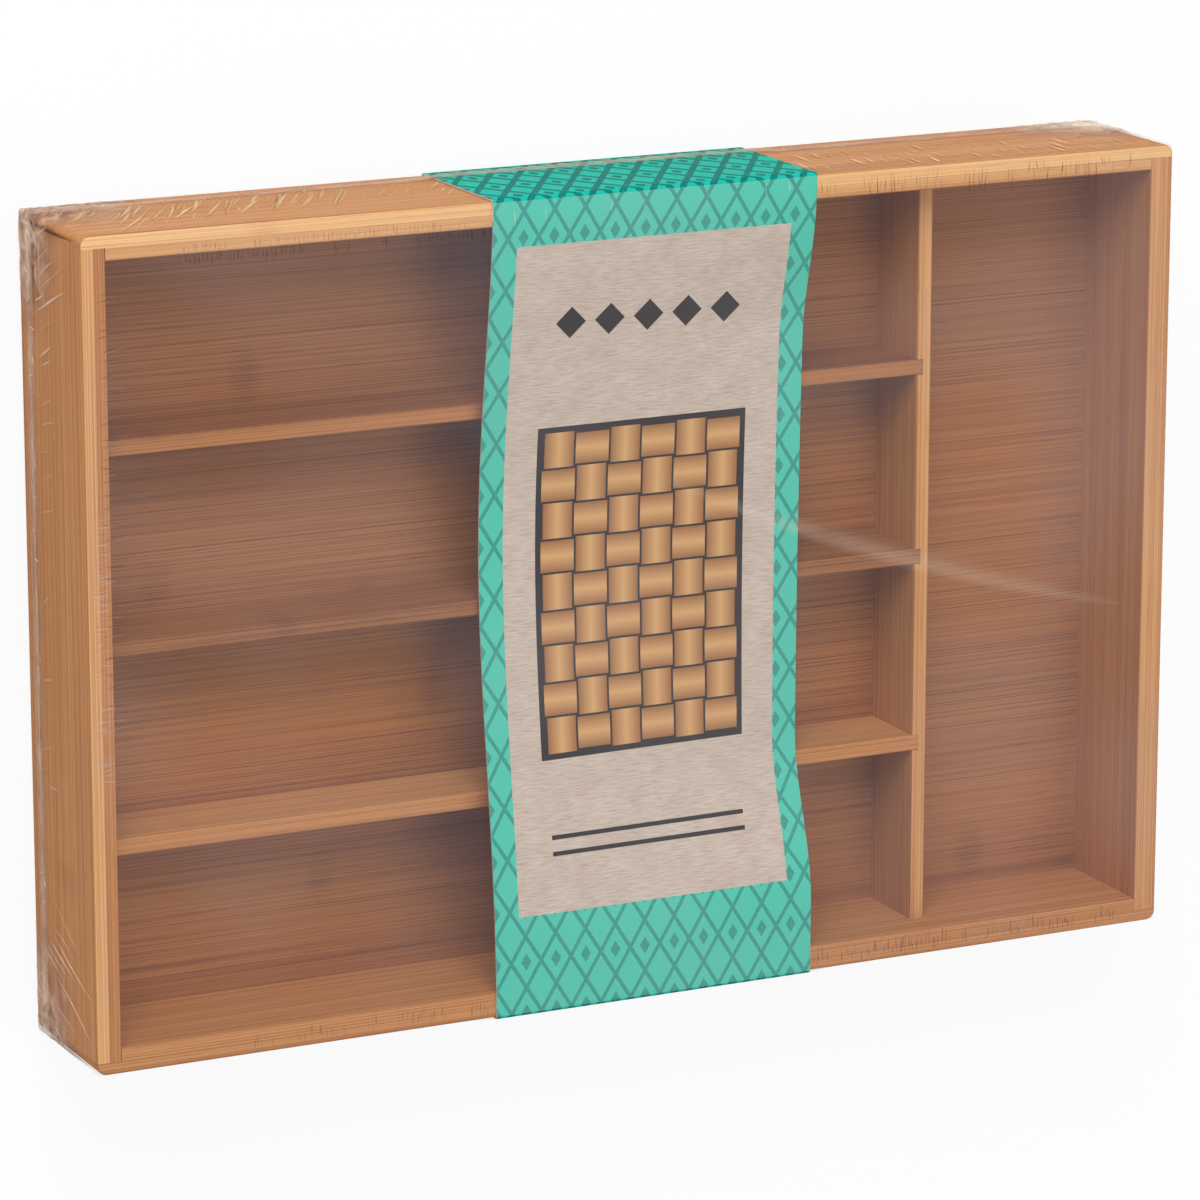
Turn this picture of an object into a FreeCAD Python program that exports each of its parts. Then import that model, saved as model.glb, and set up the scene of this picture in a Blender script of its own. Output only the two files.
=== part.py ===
import FreeCAD, Part
import os

# A bamboo cutlery tray lying flat in its shop wrapping. Four frame boards, each of two glued
# plies, meet in rebated corners. A base panel sits in grooves in the inner plies. One cross
# divider and the lane dividers stand on it, with their ends in shallow housings. A printed
# card sleeve goes round the middle. A clear film bag goes over everything, slit at the cross
# lane's end, with two welded seams.
# Frame: +Z up out of the lanes, +X along the tray towards the cross lane, origin at the bottom
# centre of the wrapped tray. Lengths are in millimetres.

# Frame boards
tray_length = 360.0
tray_width = 250.0
tray_height = 50.0
ply_thickness = 3.8
corner_radius = 3.0
rim_easing = 0.6

# Base panel, held in grooves above the boards' lower edges
base_thickness = 4.0
base_lift = 8.0
groove_depth = 2.4
groove_end_gap = 0.2

# Dividers, lower than the rim, with their ends in housings
divider_thickness = 4.8
divider_height = 26.0
divider_easing = 0.5
housing_depth = 2.0
housing_end_gap = 0.1
cross_lane_width = 70.0
lane_count = 4

# Card sleeve round the middle of the tray
sleeve_width = 107.0
sleeve_shift = 2.0
card_thickness = 0.5
fold_radius = 0.4

# Film bag over everything, with welded seams low on the left end and on the back side
film_thickness = 0.1
seam_width = 1.0
seam_thickness = 0.5
seam_easing = 0.2
seam_lift = 7.5

# Gaps and cuts
slide_gap = 0.15
cut_overrun = 1.0
match_tolerance = 0.001

# Places worked out from the sizes above
board_thickness = 2 * ply_thickness
half_length = tray_length / 2
half_width = tray_width / 2
inner_half_length = half_length - board_thickness
inner_half_width = half_width - board_thickness
card_low = film_thickness + slide_gap
tray_bottom = card_low + card_thickness + slide_gap
rim = tray_bottom + tray_height
base_bottom = tray_bottom + base_lift
base_top = base_bottom + base_thickness
divider_top = base_top + divider_height
cross_right = inner_half_length - cross_lane_width
cross_left = cross_right - divider_thickness
lane_width = (2 * inner_half_width - (lane_count - 1) * divider_thickness) / lane_count
sleeve_left = sleeve_shift - sleeve_width / 2
sleeve_right = sleeve_shift + sleeve_width / 2
card_inner_half_width = half_width + slide_gap
card_outer_half_width = card_inner_half_width + card_thickness
card_high = rim + slide_gap + card_thickness
film_inner_half_width = card_outer_half_width + slide_gap
film_outer_half_width = film_inner_half_width + film_thickness
film_inner_left = -half_length - slide_gap
film_outer_left = film_inner_left - film_thickness
film_inner_high = card_high + slide_gap
film_high = film_inner_high + film_thickness
seam_low = tray_bottom + seam_lift
seam_high = seam_low + seam_width

ACROSS = FreeCAD.Vector(0, 1, 0)
ORIGIN = FreeCAD.Vector(0, 0, 0)


def block(low, high):
    """Box between its lowest and its highest corner."""
    size = [top - bottom for bottom, top in zip(low, high)]
    return Part.makeBox(size[0], size[1], size[2], FreeCAD.Vector(*low))


def same(first, second):
    """True where two places are the same."""
    return abs(first - second) < match_tolerance


def eased(solid, radius, chosen):
    """Round the edges whose bounding boxes are chosen."""
    edges = [edge for edge in solid.Edges if chosen(edge.BoundBox)]
    return solid.makeFillet(radius, edges)


def on_rim_or_foot(bounds):
    """True for an edge that lies level in a board's top or bottom face."""
    level = same(bounds.ZMin, bounds.ZMax)
    return level and (same(bounds.ZMin, rim) or same(bounds.ZMin, tray_bottom))


def front_outer_ply():
    """Outer ply of the front board: runs the full length, over the ends of the end boards."""
    inner_face = ply_thickness - half_width
    ply = block((-half_length, -half_width, tray_bottom), (half_length, inner_face, rim))

    def outer_corner(bounds):
        return same(bounds.ZLength, tray_height) and same(bounds.YMax, -half_width)

    def outer_rim(bounds):
        return on_rim_or_foot(bounds) and not same(bounds.YMin, inner_face)

    return eased(eased(ply, corner_radius, outer_corner), rim_easing, outer_rim)


def front_inner_ply():
    """Inner ply of the front board: stops at the end boards, grooved for the base panel."""
    inner_face = -inner_half_width
    ply = block((-inner_half_length, ply_thickness - half_width, tray_bottom),
                (inner_half_length, inner_face, rim))

    def lane_rim(bounds):
        return on_rim_or_foot(bounds) and same(bounds.YMin, inner_face)

    groove = block((-half_length, inner_face - groove_depth, base_bottom),
                   (half_length, inner_face + cut_overrun, base_top))
    housing = block((cross_left, inner_face - housing_depth, base_top),
                    (cross_right, inner_face + cut_overrun, divider_top))
    return eased(ply, rim_easing, lane_rim).cut(groove).cut(housing)


def left_outer_ply():
    """Outer ply of an end board, set between the outer plies of the long boards."""
    reach = half_width - ply_thickness
    ply = block((-half_length, -reach, tray_bottom), (ply_thickness - half_length, reach, rim))

    def outer_rim(bounds):
        return on_rim_or_foot(bounds) and same(bounds.XMax, -half_length)

    return eased(ply, rim_easing, outer_rim)


def left_inner_ply():
    """Inner ply of an end board, grooved for the base panel."""
    reach = half_width - ply_thickness
    inner_face = -inner_half_length
    ply = block((ply_thickness - half_length, -reach, tray_bottom), (inner_face, reach, rim))

    def lane_rim(bounds):
        return on_rim_or_foot(bounds) and same(bounds.XMin, inner_face)

    groove = block((inner_face - groove_depth, -half_width, base_bottom),
                   (inner_face + cut_overrun, half_width, base_top))
    return eased(ply, rim_easing, lane_rim).cut(groove)


def base_panel():
    """Thin panel whose four edges reach into the grooves."""
    reach = groove_depth - groove_end_gap
    corner = (inner_half_length + reach, inner_half_width + reach)
    return block((-corner[0], -corner[1], base_bottom), (corner[0], corner[1], base_top))


def lane_places():
    """Lower Y face of each lane divider, from the front board to the back."""
    pitch = lane_width + divider_thickness
    return [lane_width - inner_half_width + index * pitch for index in range(lane_count - 1)]


def lane_housings(low_x, high_x):
    """Slots that take the lane dividers' ends, between two places along the tray."""
    return [block((low_x, place, base_top), (high_x, place + divider_thickness, divider_top))
            for place in lane_places()]


def lane_divider(place):
    """One lane divider, from the left end board to the cross divider."""
    reach = housing_depth - housing_end_gap
    divider = block((-inner_half_length - reach, place, base_top),
                    (cross_left + reach, place + divider_thickness, divider_top))

    def top_edge(bounds):
        return same(bounds.ZMin, divider_top) and same(bounds.YMin, bounds.YMax)

    return eased(divider, divider_easing, top_edge)


def cross_divider():
    """Divider between the lanes and the cross lane, slotted for the lane dividers."""
    reach = inner_half_width + housing_depth - housing_end_gap
    divider = block((cross_left, -reach, base_top), (cross_right, reach, divider_top))

    def top_edge(bounds):
        return same(bounds.ZMin, divider_top) and same(bounds.XMin, bounds.XMax)

    divider = eased(divider, divider_easing, top_edge)
    for slot in lane_housings(cross_left - cut_overrun, cross_left + housing_depth):
        divider = divider.cut(slot)
    return divider


def frame_boards():
    """The eight plies of the four frame boards, by name."""
    front_outer = front_outer_ply()
    front_inner = front_inner_ply()
    left_outer = left_outer_ply()
    left_inner = left_inner_ply()
    along = FreeCAD.Vector(1, 0, 0)
    right_inner = left_inner.mirror(ORIGIN, along)
    for slot in lane_housings(-inner_half_length - housing_depth, cut_overrun - inner_half_length):
        left_inner = left_inner.cut(slot)
    return {
        "front_board_outer_ply": front_outer,
        "front_board_inner_ply": front_inner,
        "back_board_outer_ply": front_outer.mirror(ORIGIN, ACROSS),
        "back_board_inner_ply": front_inner.mirror(ORIGIN, ACROSS),
        "left_end_outer_ply": left_outer,
        "left_end_inner_ply": left_inner,
        "right_end_outer_ply": left_outer.mirror(ORIGIN, along),
        "right_end_inner_ply": right_inner,
    }


def sleeve_panels():
    """The card sleeve, one sheet of card parted at its four folds into flat panels."""
    def fold(bounds):
        outside = same(bounds.YMin, bounds.YMax) and same(abs(bounds.YMin), card_outer_half_width)
        outer_face = same(bounds.ZMin, card_high) or same(bounds.ZMin, card_low)
        return outside and outer_face and same(bounds.ZMin, bounds.ZMax)

    low_x, high_x = sleeve_left, sleeve_right
    face_low = card_high - card_thickness
    under_high = card_low + card_thickness
    face = block((low_x, -card_outer_half_width, face_low), (high_x, card_outer_half_width, card_high))
    under = block((low_x, -card_outer_half_width, card_low), (high_x, card_outer_half_width, under_high))
    front = block((low_x, -card_outer_half_width, under_high),
                  (high_x, -card_inner_half_width, face_low))
    return {
        "sleeve_face_panel": eased(face, fold_radius, fold),
        "sleeve_under_panel": eased(under, fold_radius, fold),
        "sleeve_front_side": front,
        "sleeve_back_side": front.mirror(ORIGIN, ACROSS),
    }


def film_panels():
    """The film bag's sheet, drawn flat over the tray and the sleeve and parted at its edges."""
    low_x, high_x = film_outer_left, half_length
    over = block((low_x, -film_outer_half_width, film_inner_high),
                 (high_x, film_outer_half_width, film_high))
    under = block((low_x, -film_outer_half_width, 0), (high_x, film_outer_half_width, film_thickness))
    front = block((low_x, -film_outer_half_width, film_thickness),
                  (high_x, -film_inner_half_width, film_inner_high))
    left = block((low_x, -film_inner_half_width, film_thickness),
                 (film_inner_left, film_inner_half_width, film_inner_high))
    return {
        "film_over_lanes": over,
        "film_under_base": under,
        "film_front_side": front,
        "film_back_side": front.mirror(ORIGIN, ACROSS),
        "film_left_end": left,
    }


def film_seams():
    """The welded seams of the film bag: one down the left end, one along the back side."""
    left_outer = film_outer_left - seam_thickness
    back_outer = film_outer_half_width + seam_thickness
    left = block((left_outer, -half_width, seam_low), (film_outer_left, film_outer_half_width, seam_high))
    back = block((left_outer, film_outer_half_width, seam_low), (half_length, back_outer, seam_high))

    def left_ridge(bounds):
        return same(bounds.XMax, left_outer) and same(bounds.ZMin, bounds.ZMax)

    def back_ridge(bounds):
        return same(bounds.YMin, back_outer) and same(bounds.ZMin, bounds.ZMax)

    return {
        "film_left_seam": eased(left, seam_easing, left_ridge),
        "film_back_seam": eased(back, seam_easing, back_ridge),
    }


def build():
    """Every piece of the wrapped tray, by name."""
    pieces = frame_boards()
    pieces["base_panel"] = base_panel()
    pieces["cross_divider"] = cross_divider()
    for number, place in enumerate(lane_places(), start=1):
        pieces[f"lane_divider_{number}"] = lane_divider(place)
    pieces.update(sleeve_panels())
    pieces.update(film_panels())
    pieces.update(film_seams())
    return pieces


os.makedirs("parts", exist_ok=True)
for name, shape in build().items():
    shape.exportStep(f"parts/{name}.step")
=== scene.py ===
"""Finish and wrapping for a bamboo cutlery tray.

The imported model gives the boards, the base and the dividers. They keep their shapes and get their
bamboo finish here. The printed card sleeve and the shrunk film are thin and soft, so they are
modelled here and take the places of their plain solids. Lengths are in metres.
"""

import math
import random

import bpy
from bpy.props import FloatProperty, FloatVectorProperty, IntProperty, PointerProperty
from mathutils import Matrix, Vector, noise


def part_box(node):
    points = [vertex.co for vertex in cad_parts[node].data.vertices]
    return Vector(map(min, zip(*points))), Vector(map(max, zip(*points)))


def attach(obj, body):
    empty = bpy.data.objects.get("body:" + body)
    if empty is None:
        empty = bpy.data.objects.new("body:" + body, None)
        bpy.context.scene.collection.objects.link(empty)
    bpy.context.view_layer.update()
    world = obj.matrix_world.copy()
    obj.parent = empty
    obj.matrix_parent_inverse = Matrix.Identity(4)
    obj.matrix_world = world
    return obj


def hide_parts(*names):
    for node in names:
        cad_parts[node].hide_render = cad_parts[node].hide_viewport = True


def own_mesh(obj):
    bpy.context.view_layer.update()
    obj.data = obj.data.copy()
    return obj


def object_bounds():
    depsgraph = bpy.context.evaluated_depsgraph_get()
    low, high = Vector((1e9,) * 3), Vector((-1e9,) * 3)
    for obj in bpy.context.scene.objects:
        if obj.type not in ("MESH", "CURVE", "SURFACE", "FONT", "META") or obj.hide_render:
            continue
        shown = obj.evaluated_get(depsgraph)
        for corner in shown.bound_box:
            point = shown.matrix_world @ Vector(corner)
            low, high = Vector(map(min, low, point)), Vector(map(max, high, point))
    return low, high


bl_info = {
    "name": "Bamboo Cutlery Tray",
    "version": (1, 0, 0),
    "blender": (4, 5, 0),
    "location": "View3D > Sidebar > Tray",
    "description": "Finishes a bamboo cutlery tray, folds its card sleeve and wraps it in film",
    "category": "Object",
}

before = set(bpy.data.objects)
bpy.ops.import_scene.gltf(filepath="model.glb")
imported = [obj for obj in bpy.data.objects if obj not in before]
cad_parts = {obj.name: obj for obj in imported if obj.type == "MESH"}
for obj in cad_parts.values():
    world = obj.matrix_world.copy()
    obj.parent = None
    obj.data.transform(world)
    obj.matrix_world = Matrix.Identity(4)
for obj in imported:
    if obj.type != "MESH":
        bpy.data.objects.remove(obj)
cad_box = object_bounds()

MM = 0.001

# Places of the tray, read from the frame
BACK_PLY_LOW, BACK_PLY_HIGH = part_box("back_board_outer_ply")
HALF_LENGTH = BACK_PLY_HIGH.x
HALF_WIDTH = BACK_PLY_HIGH.y
FOOT = BACK_PLY_LOW.z
RIM = BACK_PLY_HIGH.z
DIVIDER_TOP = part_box("lane_divider_2")[1].z

# Places of the sleeve
FACE_LOW, FACE_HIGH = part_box("sleeve_face_panel")
SLEEVE_LEFT = FACE_LOW.x
SLEEVE_RIGHT = FACE_HIGH.x
SLEEVE_WIDTH = SLEEVE_RIGHT - SLEEVE_LEFT
CARD_HALF_WIDTH = FACE_HIGH.y
CARD_TOP = FACE_HIGH.z
CARD_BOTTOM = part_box("sleeve_under_panel")[0].z
CARD_THICKNESS = FACE_HIGH.z - FACE_LOW.z

# Middle and thickness of the film's welded seams
SEAM_LOW, SEAM_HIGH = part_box("film_left_seam")
SEAM_Z = (SEAM_LOW.z + SEAM_HIGH.z) / 2
SEAM_THICKNESS = SEAM_HIGH.x - SEAM_LOW.x


def linear(hex_colour):
    """An sRGB hex colour as linear red, green and blue."""
    channels = [int(hex_colour[place:place + 2], 16) / 255 for place in (1, 3, 5)]
    return tuple(c / 12.92 if c <= 0.04045 else ((c + 0.055) / 1.055) ** 2.4 for c in channels)


def colour_setting(name, description, hex_colour):
    """A colour that a user can change."""
    return FloatVectorProperty(name=name, description=description, subtype="COLOR", size=3,
                               min=0, max=1, default=linear(hex_colour))


def length_setting(name, description, default):
    """A length that a user can change."""
    return FloatProperty(name=name, description=description, unit="LENGTH", default=default,
                         precision=5)


def power_setting(name, description, default):
    """A lamp's power that a user can change."""
    return FloatProperty(name=name, description=description, unit="POWER", default=default)


class BambooFinish(bpy.types.PropertyGroup):
    """Colours of the tray's bamboo"""

    pale: colour_setting("Pale", "Palest bamboo", "#ecbd80")
    middle: colour_setting("Middle", "Bamboo of middle tone", "#b97a43")
    dark: colour_setting("Dark", "Darkest bamboo", "#6b3f2a")


class SleevePrint(bpy.types.PropertyGroup):
    """Shape and printing of the card sleeve"""

    clearance: length_setting("Clearance", "Gap from the sagging card to the dividers", 0.25 * MM)
    fold_radius: length_setting("Fold radius", "Outer radius of the four folds", 0.9 * MM)
    edge_curl: length_setting("Edge curl", "How far the free edges of the face lift", 0.5 * MM)
    front_band: length_setting("Front band", "Width of the coloured band at the front fold", 30 * MM)
    back_band: length_setting("Back band", "Width of the coloured band at the back fold", 14 * MM)
    side_band: length_setting("Side band", "Width of the coloured bands along the free edges", 8 * MM)
    lattice_pitch: length_setting("Lattice pitch", "Size of one lozenge of the lattice", 10 * MM)
    panel_width: length_setting("Panel width", "Width of the woven panel", 66 * MM)
    panel_length: length_setting("Panel length", "Length of the woven panel", 99 * MM)
    panel_middle: length_setting("Panel middle", "From the front fold to the panel's middle", 128 * MM)
    weave_pitch: length_setting("Weave pitch", "Width of one strip of the woven panel", 11 * MM)
    teal: colour_setting("Teal", "Coloured bands", "#4fc0a8")
    side_teal: colour_setting("Side teal", "Sides of the sleeve, fully inked", "#1fb2a0")
    side_ink: colour_setting("Side ink", "Lattice on the sides of the sleeve", "#145a55")
    deep_teal: colour_setting("Deep teal", "Lattice on the bands", "#2f8579")
    kraft: colour_setting("Kraft", "Unprinted brown paper", "#cebeb0")
    kraft_fibre: colour_setting("Kraft fibre", "Fibres in the brown paper", "#a8937f")
    charcoal: colour_setting("Charcoal", "Dark printing", "#34302e")
    strip_light: colour_setting("Woven strip", "Light woven strips", "#d2a26c")
    strip_dark: colour_setting("Woven strip, dark", "Dark woven strips", "#8d5c35")
    board: colour_setting("Board", "Inner side and cut edges of the card", "#cfc8bd")


class FilmWrap(bpy.types.PropertyGroup):
    """Fit and creases of the shrunk film"""

    gap: length_setting("Gap", "Film to boards", 0.12 * MM)
    tent: length_setting("Tent", "How far past the card's edges the film stands off", 9 * MM)
    edge_radius: length_setting("Edge radius", "Rounding of the film over the tray's edges", 1.0 * MM)
    lip: length_setting("Lip", "Film that turns in over the slit end", 7 * MM)
    grid: length_setting("Grid", "Distance between the points of the sheet", 3 * MM)
    fine_grid: length_setting("Fine grid", "Distance between points of crumpled film", 0.9 * MM)
    swell: length_setting("Swell", "Height of the sheet's slow waves", 0.15 * MM)
    swell_length: length_setting("Swell length", "Length of the sheet's slow waves", 38 * MM)
    crumple: length_setting("Crumple", "Height of the crumpled film at the corners", 0.4 * MM)
    crumple_length: length_setting("Crumple length", "Size of the crumpled facets", 8 * MM)
    seed: IntProperty(name="Seed", description="Chooses where the creases fall", default=11)
    tint: colour_setting("Tint", "Light that the creases send back", "#ffe8cf")
    shade: colour_setting("Shade", "Light that is left behind a crease's far side", "#93693f")
    glint: colour_setting("Glint", "Light that film on the long sides sends back", "#ffd69a")
    haze: colour_setting("Haze", "Light that the smooth film sends back", "#e4dfea")


class StudioStage(bpy.types.PropertyGroup):
    """Camera, lamps and floor"""

    camera_place: FloatVectorProperty(
        name="Camera", description="Where the camera stands", subtype="TRANSLATION", unit="LENGTH",
        default=(-0.7585, 0.4295, 1.5855))
    camera_aim: FloatVectorProperty(
        name="Aim", description="Point in the middle of the picture", subtype="TRANSLATION",
        unit="LENGTH", default=(-0.0161, 0.0011, 0.05))
    focal_length: FloatProperty(
        name="Focal length", description="On a 36 mm frame", unit="CAMERA", default=175.9)
    floor_drop: length_setting("Floor drop", "Floor below the part's lowest face", 0.6 * MM)
    floor: colour_setting("Floor", "Plain pale floor", "#f4f4f4")
    world: colour_setting("Surroundings", "Light from all round", "#a7a9ad")
    key_power: power_setting("Key lamp", "Large lamp behind the back board", 27)
    fill_power: power_setting("Fill lamp", "Lamp over the open side", 12.5)
    side_power: power_setting("Side lamp", "Lamp at the left end", 1)


def feed(tree, node, inputs):
    """Set a node's inputs, or link them to outputs. A node stands for its first output."""
    for key, value in inputs.items():
        if isinstance(value, bpy.types.Node):
            value = value.outputs[0]
        if isinstance(value, bpy.types.NodeSocket):
            tree.links.new(value, node.inputs[key])
        else:
            node.inputs[key].default_value = value


def add(tree, kind, inputs=None, **settings):
    """Add a node with its settings and its inputs."""
    made = tree.nodes.new(kind)
    for key, value in settings.items():
        setattr(made, key, value)
    feed(tree, made, inputs or {})
    return made


def opaque(colour):
    """A colour with full alpha, as sockets take it."""
    return (*colour, 1.0)


def new_material(name):
    """A material with its node tree and its main shader."""
    material = bpy.data.materials.new(name)
    material.use_nodes = True
    tree = material.node_tree
    return material, tree, tree.nodes["Principled BSDF"]


# Edges that bend more than this are not shaded smooth
SHARP_ANGLE = math.radians(40)


def mesh_object(name, verts, faces):
    """A smooth shaded object in the scene, from its points and faces."""
    mesh = bpy.data.meshes.new(name)
    mesh.from_pydata(verts, [], faces)
    mesh.validate()
    mesh.shade_smooth()
    mesh.set_sharp_from_angle(angle=SHARP_ANGLE)
    piece = bpy.data.objects.new(name, mesh)
    bpy.context.scene.collection.objects.link(piece)
    return piece


# Tone of each piece of bamboo, on its edges and on its faces: 0 is palest and 1 darkest
PIECE_TONES = {
    "back_board_outer_ply": (0.11, 0.49),
    "back_board_inner_ply": (0.34, 0.48),
    "front_board_outer_ply": (0.51, 0.54),
    "front_board_inner_ply": (0.48, 0.48),
    "left_end_outer_ply": (0.30, 0.52),
    "left_end_inner_ply": (0.56, 0.58),
    "right_end_outer_ply": (0.40, 0.50),
    "right_end_inner_ply": (0.40, 0.53),
    "base_panel": (0.74, 0.74),
    "cross_divider": (0.42, 0.49),
    "lane_divider_1": (0.50, 0.40),
    "lane_divider_2": (0.80, 0.75),
    "lane_divider_3": (0.66, 0.80),
}

# Layers of bamboo grain: length and width of one streak, the part of the noise that shows, and how
# much it darkens. LAYERS_MEAN is how much they darken together on the average. FIBRE_LAYER is the one
# that stands in relief.
GRAIN_LAYERS = (
    (170 * MM, 22 * MM, 0.30, 0.70, 0.07),
    (150 * MM, 2.6 * MM, 0.32, 0.70, 0.05),
    (240 * MM, 0.44 * MM, 0.46, 0.62, 0.16),
    (320 * MM, 0.48 * MM, 0.59, 0.65, 0.11),
    (16 * MM, 0.60 * MM, 0.60, 0.68, 0.06),
)
LAYERS_MEAN = 0.145
FIBRE_LAYER = 2
FIBRE_RELIEF = 0.08 * MM
FIBRE_RELIEF_STRENGTH = 0.35

# The most that the grain moves from piece to piece, so that no two are alike
PIECE_SHIFT = (3.1, 0.71, 0.37)

# Knuckles of the cane and dots on cut ends: their distances or sizes, and how much they darken
KNUCKLE_PITCH = (210 * MM, 24 * MM, 24 * MM)
KNUCKLE_SIZE = (8 * MM, 13 * MM, 13 * MM)
KNUCKLE_SHADE = 0.09
END_DOT = 0.9 * MM
END_SHADE = 0.16

# Where a mask begins and where it is full: on faces square to an axis, and on knuckles and end dots
# by the distance from their middles
SQUARE_FACES = {"From Min": 0.7, "From Max": 0.9}
KNUCKLES = {"From Min": 1.0, "From Max": 0.1}
END_DOTS = {"From Min": 0.6, "From Max": 0.25}

# Satin lacquer: its roughness off and on the fibres, and its specular level
LACQUER_ROUGHNESS = {"From Min": 0.3, "From Max": 0.7, "To Min": 0.42, "To Max": 0.58}
LACQUER_SPECULAR = 0.1


def bamboo(name, finish, tones, along_y):
    """Pressed bamboo strips under satin lacquer.

    The strips differ in tone. Long fibres, short dark bundles and the blurred knuckles of the cane
    run along them, and cut ends show the bundles as dots.
    """
    material, tree, surface = new_material(name)
    place = add(tree, "ShaderNodeTexCoord")
    piece = add(tree, "ShaderNodeObjectInfo")
    moved = add(tree, "ShaderNodeVectorMath",
                {0: piece.outputs["Random"], 1: PIECE_SHIFT, 2: place.outputs["Object"]},
                operation="MULTIPLY_ADD")
    turn = math.pi / 2 if along_y else 0
    grain = add(tree, "ShaderNodeMapping", {"Vector": moved, "Rotation": (0, 0, turn)})

    def square_to(axis):
        """1 on faces that are square to an axis."""
        facing = add(tree, "ShaderNodeVectorMath", {0: place.outputs["Normal"], 1: axis},
                     operation="DOT_PRODUCT")
        square = add(tree, "ShaderNodeMath", {0: facing.outputs["Value"]}, operation="ABSOLUTE")
        return add(tree, "ShaderNodeMapRange", {"Value": square, **SQUARE_FACES})

    # Masks of what changes the wood's tone, and by how much, the edges first
    edge_tone, face_tone = tones
    changes = [(square_to((0, 0, 1)), edge_tone - face_tone)]
    streaks = []
    for length, width, low, high, weight in GRAIN_LAYERS:
        scale = (1 / length, 1 / width, 1 / width)
        stretched = add(tree, "ShaderNodeVectorMath", {0: grain, 1: scale}, operation="MULTIPLY")
        streak = add(tree, "ShaderNodeTexNoise", {"Vector": stretched, "Scale": 1.0, "Detail": 1.0})
        shown = add(tree, "ShaderNodeMapRange", {"Value": streak, "From Min": low, "From Max": high})
        changes.append((shown, weight))
        streaks.append(streak)
    fibres = streaks[FIBRE_LAYER]

    # Knuckles of the cane: one blurred lens in each long cell. Fibres break it up and halve it on the
    # average, so it counts twice.
    per_cell = tuple(1 / pitch for pitch in KNUCKLE_PITCH)
    per_lens = tuple(pitch / size for pitch, size in zip(KNUCKLE_PITCH, KNUCKLE_SIZE))
    cells = add(tree, "ShaderNodeVectorMath", {0: grain, 1: per_cell}, operation="MULTIPLY")
    middle = add(tree, "ShaderNodeTexVoronoi", {"Vector": cells, "Scale": 1.0})
    offset = add(tree, "ShaderNodeVectorMath", {0: cells, 1: middle.outputs["Position"]},
                 operation="SUBTRACT")
    lens = add(tree, "ShaderNodeVectorMath", {0: offset, 1: per_lens}, operation="MULTIPLY")
    away = add(tree, "ShaderNodeVectorMath", {0: lens}, operation="LENGTH")
    knuckle = add(tree, "ShaderNodeMapRange", {"Value": away.outputs["Value"], **KNUCKLES},
                  interpolation_type="SMOOTHSTEP")
    blurred = add(tree, "ShaderNodeMath", {0: knuckle, 1: fibres}, operation="MULTIPLY")
    changes.append((blurred, 2 * KNUCKLE_SHADE))

    # Cut ends: dots of the bundles
    dots = add(tree, "ShaderNodeTexVoronoi", {"Vector": grain, "Scale": 1 / END_DOT})
    dotted = add(tree, "ShaderNodeMapRange", {"Value": dots.outputs["Distance"], **END_DOTS})
    cut_end = square_to((0, 1, 0) if along_y else (1, 0, 0))
    on_end = add(tree, "ShaderNodeMath", {0: dotted, 1: cut_end}, operation="MULTIPLY")
    changes.append((on_end, END_SHADE))

    shade = face_tone - LAYERS_MEAN
    for mask, amount in changes:
        shade = add(tree, "ShaderNodeMath", {0: mask, 1: amount, 2: shade}, operation="MULTIPLY_ADD")
    wood = add(tree, "ShaderNodeValToRGB", {0: shade})
    wood.color_ramp.elements.new(0.5)
    for stop, colour in zip(wood.color_ramp.elements, (finish.pale, finish.middle, finish.dark)):
        stop.color = opaque(colour)
    roughness = add(tree, "ShaderNodeMapRange", {"Value": fibres, **LACQUER_ROUGHNESS})
    relief = add(tree, "ShaderNodeBump",
                 {"Height": fibres, "Strength": FIBRE_RELIEF_STRENGTH, "Distance": FIBRE_RELIEF})
    feed(tree, surface, {"Base Color": wood, "Roughness": roughness, "Normal": relief,
                         "Specular IOR Level": LACQUER_SPECULAR})
    return material


class TRAY_OT_finish_boards(bpy.types.Operator):
    """Give every board, the base and the dividers their bamboo finish"""

    bl_idname = "tray.finish_boards"
    bl_label = "Finish Boards"

    def execute(self, context):
        finish = context.scene.tray_bamboo
        for name, tones in PIECE_TONES.items():
            along_y = "_end_" in name or name == "cross_divider"
            material = bamboo(f"bamboo_{name}", finish, tones, along_y)
            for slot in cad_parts[name].material_slots:
                slot.material = material
        return {"FINISHED"}


# The face of the card sinks between its folds, in another way at its left edge than at its right.
# At a share t of the way from the front fold to the back fold, the drop is
# sin(pi * t ** skew) ** flatness of the deepest drop, eased at the front and at the back.
# Each row holds skew, flatness, where the front easing starts and ends, and the back easing's share.
LEFT_SAG = (1.195, 1.7, 0.0, 0.05, 0.05)
RIGHT_SAG = (0.584, 0.3, 0.09, 0.30, 0.20)

# Steps along the card's face, round a fold, down a side, under the base and across the card, and how
# far in from its free edges the face curls
FACE_STEPS = 72
FOLD_STEPS = 5
SIDE_STEPS = 10
UNDER_STEPS = 24
CARD_COLUMNS = 24
CURL_REACH = 14 * MM


def smooth(share):
    """Eased step from 0 to 1."""
    share = min(max(share, 0.0), 1.0)
    return share * share * (3 - 2 * share)


def straight(start, end, steps):
    """Points from start towards end, without the end."""
    return [start.lerp(end, step / steps) for step in range(steps)]


def fold(centre, start, sweep, radius):
    """Points of a round fold, without its end."""
    angles = [start + sweep * step / FOLD_STEPS for step in range(FOLD_STEPS)]
    return [centre + radius * Vector((math.cos(angle), math.sin(angle))) for angle in angles]


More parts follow.
